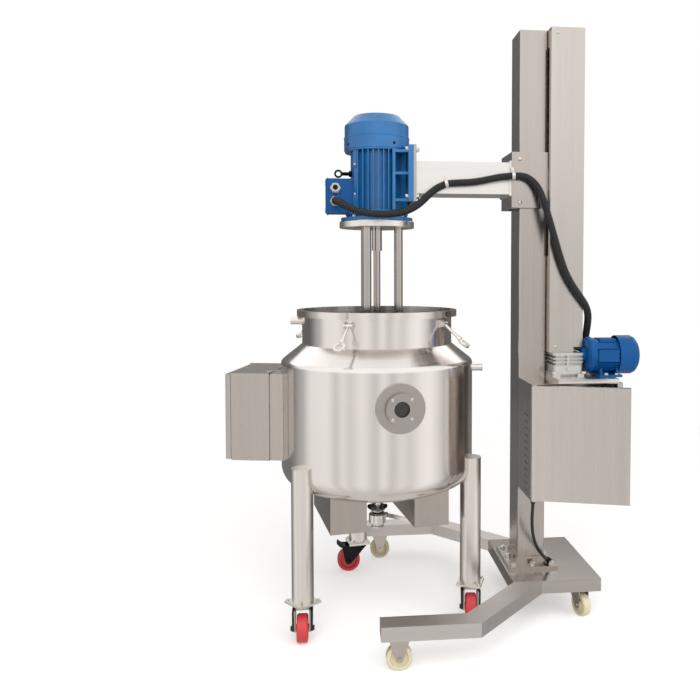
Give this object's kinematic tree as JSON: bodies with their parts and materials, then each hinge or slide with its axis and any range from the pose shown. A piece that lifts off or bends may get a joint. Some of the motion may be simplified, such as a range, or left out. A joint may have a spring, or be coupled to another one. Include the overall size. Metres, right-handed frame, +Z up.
{
  "type": "high shear mixer",
  "caption": "High shear mixer: motor-driven rotor-stator head on a wheeled lifting stand over a jacketed stainless mixing vessel on casters.",
  "frame": {"origin": "on the floor, under the middle of the bounding box measured without the hoses and the cable", "axes": "+Z up, +X from the vessel towards the lift drive, +Y away from the side that the cabinet door faces"},
  "size_m": [1.5896, 1.1, 2.268],
  "materials": {
    "stainless": "brushed",
    "housing_steel": "fine brushed",
    "vessel_steel": "polished with faint vertical streaks",
    "steel": "ground",
    "motor_blue": "gloss enamel",
    "cast_alloy": "cast",
    "fork_zinc": "zinc plated",
    "wheel_red": "polyurethane",
    "wheel_cream": "nylon",
    "gland_black": "moulded",
    "pedal_black": "moulded",
    "hose_black": "ribbed conduit",
    "glass": "clear",
    "bronze": "machined",
    "pad_white": "moulded"
  },
  "bodies": {
    "stand": {"base_deck": "stainless", "outriggers": "stainless", "column": "stainless", "screw_housing": "housing_steel", "lift_gearbox": "cast_alloy", "lift_motor": "motor_blue", "motor_base_plate": "stainless", "cabinet": "stainless", "stand_glands": "gland_black", "power_cable": "hose_black", "fixed_caster_forks": "fork_zinc"},
    "lift_screw": {"lift_screw": "steel"},
    "cabinet_door": {"cabinet_door": "stainless"},
    "mixing_head": {"carriage": "stainless", "guide_pads": "pad_white", "lift_nut": "bronze", "arm": "stainless", "arm_end_plate": "stainless", "mixer_motor": "motor_blue", "mixer_motor_fan_cover": "motor_blue", "terminal_box": "motor_blue", "terminal_fittings": "steel", "mounting_disc": "stainless", "support_rods": "vessel_steel", "stator_head": "vessel_steel", "shaft_bush": "pad_white", "hose_clips": "steel", "motor_hose": "hose_black", "hanging_hose": "hose_black"},
    "rotor": {"mixer_shaft": "vessel_steel", "mixer_rotor": "vessel_steel"},
    "vessel": {"inner_vessel": "vessel_steel", "jacket": "vessel_steel", "vessel_legs": "stainless", "sight_flange": "vessel_steel", "sight_glass": "glass", "swing_bolt_lugs": "stainless", "outlet_clamp": "stainless", "outlet_valve": "stainless", "heater_boxes": "stainless", "control_box": "stainless"},
    "control_box_door": {"control_box_door": "stainless"},
    "valve_lever": {"valve_lever": "steel"},
    "brake_pedal": {"brake_pedal": "pedal_black"},
    "swing_bolt_1": {"swing_bolt_1": "stainless"},
    "swing_bolt_2": {"swing_bolt_2": "stainless"},
    "swing_bolt_3": {"swing_bolt_3": "stainless"},
    "swing_bolt_4": {"swing_bolt_4": "stainless"},
    "left_caster_fork": {"left_caster_fork": "fork_zinc"},
    "left_caster_wheel": {"left_caster_wheel": "wheel_red"},
    "right_caster_fork": {"right_caster_fork": "fork_zinc"},
    "right_caster_wheel": {"right_caster_wheel": "wheel_red"},
    "rear_caster_fork": {"rear_caster_fork": "fork_zinc"},
    "rear_caster_wheel": {"rear_caster_wheel": "wheel_red"},
    "near_fixed_wheel": {"near_fixed_wheel": "wheel_cream"},
    "near_swivel_fork": {"near_swivel_fork": "fork_zinc"},
    "near_swivel_wheel": {"near_swivel_wheel": "wheel_cream"},
    "far_fixed_wheel": {"far_fixed_wheel": "wheel_cream"},
    "far_swivel_fork": {"far_swivel_fork": "fork_zinc"},
    "far_swivel_wheel": {"far_swivel_wheel": "wheel_cream"}
  },
  "joints": [
    {"name": "lift", "type": "slide", "parent": "stand", "child": "mixing_head", "axis": [0, 0, 1], "range_m": [-0.24, 0.45], "deforming": ["hanging_hose"]},
    {"name": "screw_turn", "type": "hinge", "parent": "stand", "child": "lift_screw", "pos_m": [0.51783, -0.03, 1.017], "axis": [0, 0, 1], "continuous": true},
    {"name": "rotor_spin", "type": "hinge", "parent": "mixing_head", "child": "rotor", "pos_m": [-0.21217, 0, 1.501], "axis": [0, 0, 1], "continuous": true},
    {"name": "cabinet_door_swing", "type": "hinge", "parent": "stand", "child": "cabinet_door", "pos_m": [0.34683, -0.2805, 0.482], "axis": [0, 0, 1], "range_deg": [-84, 16]},
    {"name": "vessel_roll", "type": "slide", "parent": "stand", "child": "vessel", "axis": [1, 0, 0], "range_m": [-0.12, 0.03]},
    {"name": "control_box_door_swing", "type": "hinge", "parent": "vessel", "child": "control_box_door", "pos_m": [-0.72712, 0.26207, 0.612], "axis": [0, 0, -1], "range_deg": [0, 110]},
    {"name": "valve_turn", "type": "hinge", "parent": "vessel", "child": "valve_lever", "pos_m": [-0.21217, 0, 0.351], "axis": [0.682, 0.7314, 0], "range_deg": [0, 90]},
    {"name": "swing_bolt_1_swing", "type": "hinge", "parent": "vessel", "child": "swing_bolt_1", "pos_m": [-0.33095, -0.27983, 1.137], "axis": [-0.9205, 0.3907, 0], "range_deg": [0, 129]},
    {"name": "swing_bolt_2_swing", "type": "hinge", "parent": "vessel", "child": "swing_bolt_2", "pos_m": [0.02739, -0.18716, 1.137], "axis": [-0.6157, -0.788, 0], "range_deg": [0, 129]},
    {"name": "swing_bolt_3_swing", "type": "hinge", "parent": "vessel", "child": "swing_bolt_3", "pos_m": [-0.09338, 0.27983, 1.137], "axis": [0.9205, -0.3907, 0], "range_deg": [0, 129]},
    {"name": "swing_bolt_4_swing", "type": "hinge", "parent": "vessel", "child": "swing_bolt_4", "pos_m": [-0.45172, 0.18716, 1.137], "axis": [0.6157, 0.788, 0], "range_deg": [0, 129]},
    {"name": "left_caster_swivel", "type": "hinge", "parent": "vessel", "child": "left_caster_fork", "pos_m": [-0.49943, -0.24105, 0.124], "axis": [0, 0, 1], "continuous": true},
    {"name": "left_caster_roll", "type": "hinge", "parent": "left_caster_fork", "child": "left_caster_wheel", "pos_m": [-0.49943, -0.28304, 0.05], "axis": [1, 0, 0], "continuous": true},
    {"name": "right_caster_swivel", "type": "hinge", "parent": "vessel", "child": "right_caster_fork", "pos_m": [0.14022, -0.12826, 0.124], "axis": [0, 0, 1], "continuous": true},
    {"name": "right_caster_roll", "type": "hinge", "parent": "right_caster_fork", "child": "right_caster_wheel", "pos_m": [0.1351, -0.16994, 0.05], "axis": [0.9925, -0.1219, 0], "continuous": true},
    {"name": "rear_caster_swivel", "type": "hinge", "parent": "vessel", "child": "rear_caster_fork", "pos_m": [-0.27728, 0.3693, 0.124], "axis": [0, 0, 1], "continuous": true},
    {"name": "rear_caster_roll", "type": "hinge", "parent": "rear_caster_fork", "child": "rear_caster_wheel", "pos_m": [-0.31928, 0.3693, 0.05], "axis": [0, -1, 0], "continuous": true},
    {"name": "brake_pedal_press", "type": "hinge", "parent": "rear_caster_fork", "child": "brake_pedal", "pos_m": [-0.33828, 0.3693, 0.108], "axis": [0, -1, 0], "range_deg": [0, 16]},
    {"name": "near_fixed_wheel_roll", "type": "hinge", "parent": "stand", "child": "near_fixed_wheel", "pos_m": [-0.17117, -0.51, 0.044], "axis": [0, 1, 0], "continuous": true},
    {"name": "near_swivel", "type": "hinge", "parent": "stand", "child": "near_swivel_fork", "pos_m": [0.55983, -0.152, 0.112], "axis": [0, 0, 1], "continuous": true},
    {"name": "near_swivel_wheel_roll", "type": "hinge", "parent": "near_swivel_fork", "child": "near_swivel_wheel", "pos_m": [0.56849, -0.17863, 0.044], "axis": [0.9511, 0.309, 0], "continuous": true},
    {"name": "far_fixed_wheel_roll", "type": "hinge", "parent": "stand", "child": "far_fixed_wheel", "pos_m": [-0.17117, 0.51, 0.044], "axis": [0, 1, 0], "continuous": true},
    {"name": "far_swivel", "type": "hinge", "parent": "stand", "child": "far_swivel_fork", "pos_m": [0.55983, 0.152, 0.112], "axis": [0, 0, 1], "continuous": true},
    {"name": "far_swivel_wheel_roll", "type": "hinge", "parent": "far_swivel_fork", "child": "far_swivel_wheel", "pos_m": [0.56849, 0.12537, 0.044], "axis": [0.9511, 0.309, 0], "continuous": true}
  ],
  "couplings": [
    {"joint": "screw_turn", "follows": "lift", "rad_per_m": 628.32}
  ]
}
